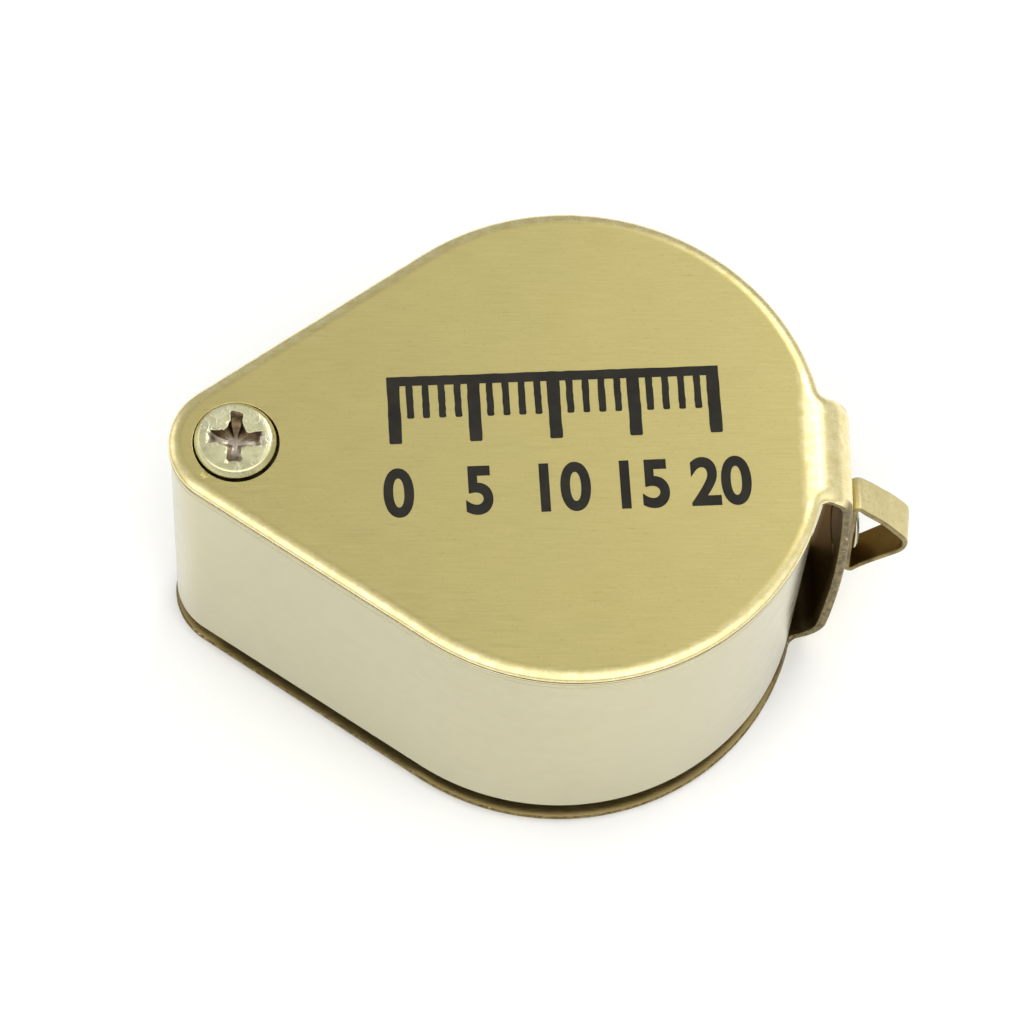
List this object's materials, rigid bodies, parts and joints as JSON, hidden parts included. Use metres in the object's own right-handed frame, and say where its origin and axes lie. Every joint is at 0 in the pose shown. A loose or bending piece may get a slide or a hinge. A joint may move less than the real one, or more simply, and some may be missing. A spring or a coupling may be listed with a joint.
{
  "type": "hand lens",
  "caption": "Folding hand lens: cemented lens in a plated housing that swings out of a folded sheet-metal cover on a screwed pivot, with a cord loop riveted to the spine.",
  "frame": {"origin": "where the lens axis, with the lens folded in, meets the underside of the lower plate", "axes": "+Z along the lens axis towards the upper plate; -X towards the pivot; +X towards the spine and its loop"},
  "size_m": [0.0473, 0.032, 0.0255],
  "materials": {
    "gold": "satin gold plate on steel sheet",
    "nickel": "polished nickel plate",
    "blackened": "black anodised, matt inside",
    "glass": "polished and coated",
    "screw": "zinc plated, passivated",
    "turned_brass": "turned",
    "nylon": "plain",
    "spring": "plain spring strip"
  },
  "bodies": {
    "cover": {"cover": "gold", "pivot_post": "turned_brass", "pivot_screw": "screw", "pivot_flat_washer": "nylon", "pivot_wave_washer": "spring", "bail_rivet": "turned_brass", "bail_rivet_washer": "turned_brass"},
    "housing": {"housing_tub": "nickel", "housing_lid": "nickel", "pivot_bush": "turned_brass", "pivot_thrust_washer": "nylon", "lens_barrel": "blackened", "lens_retaining_ring": "blackened", "lens_gasket": "nylon", "middle_lens": "glass", "eye_lens": "glass", "object_lens": "glass", "eye_trim_ring": "blackened", "object_trim_ring": "blackened"},
    "loop": {"bail": "gold"}
  },
  "joints": [
    {"name": "housing_pivot", "type": "hinge", "parent": "cover", "child": "housing", "pos_m": [-0.02086, 0, 0], "axis": [0, 0, 1], "continuous": true},
    {"name": "loop_swivel", "type": "hinge", "parent": "cover", "child": "loop", "pos_m": [0.01823, -0.0003, 0.01254], "axis": [1, 0, 0], "continuous": true}
  ]
}
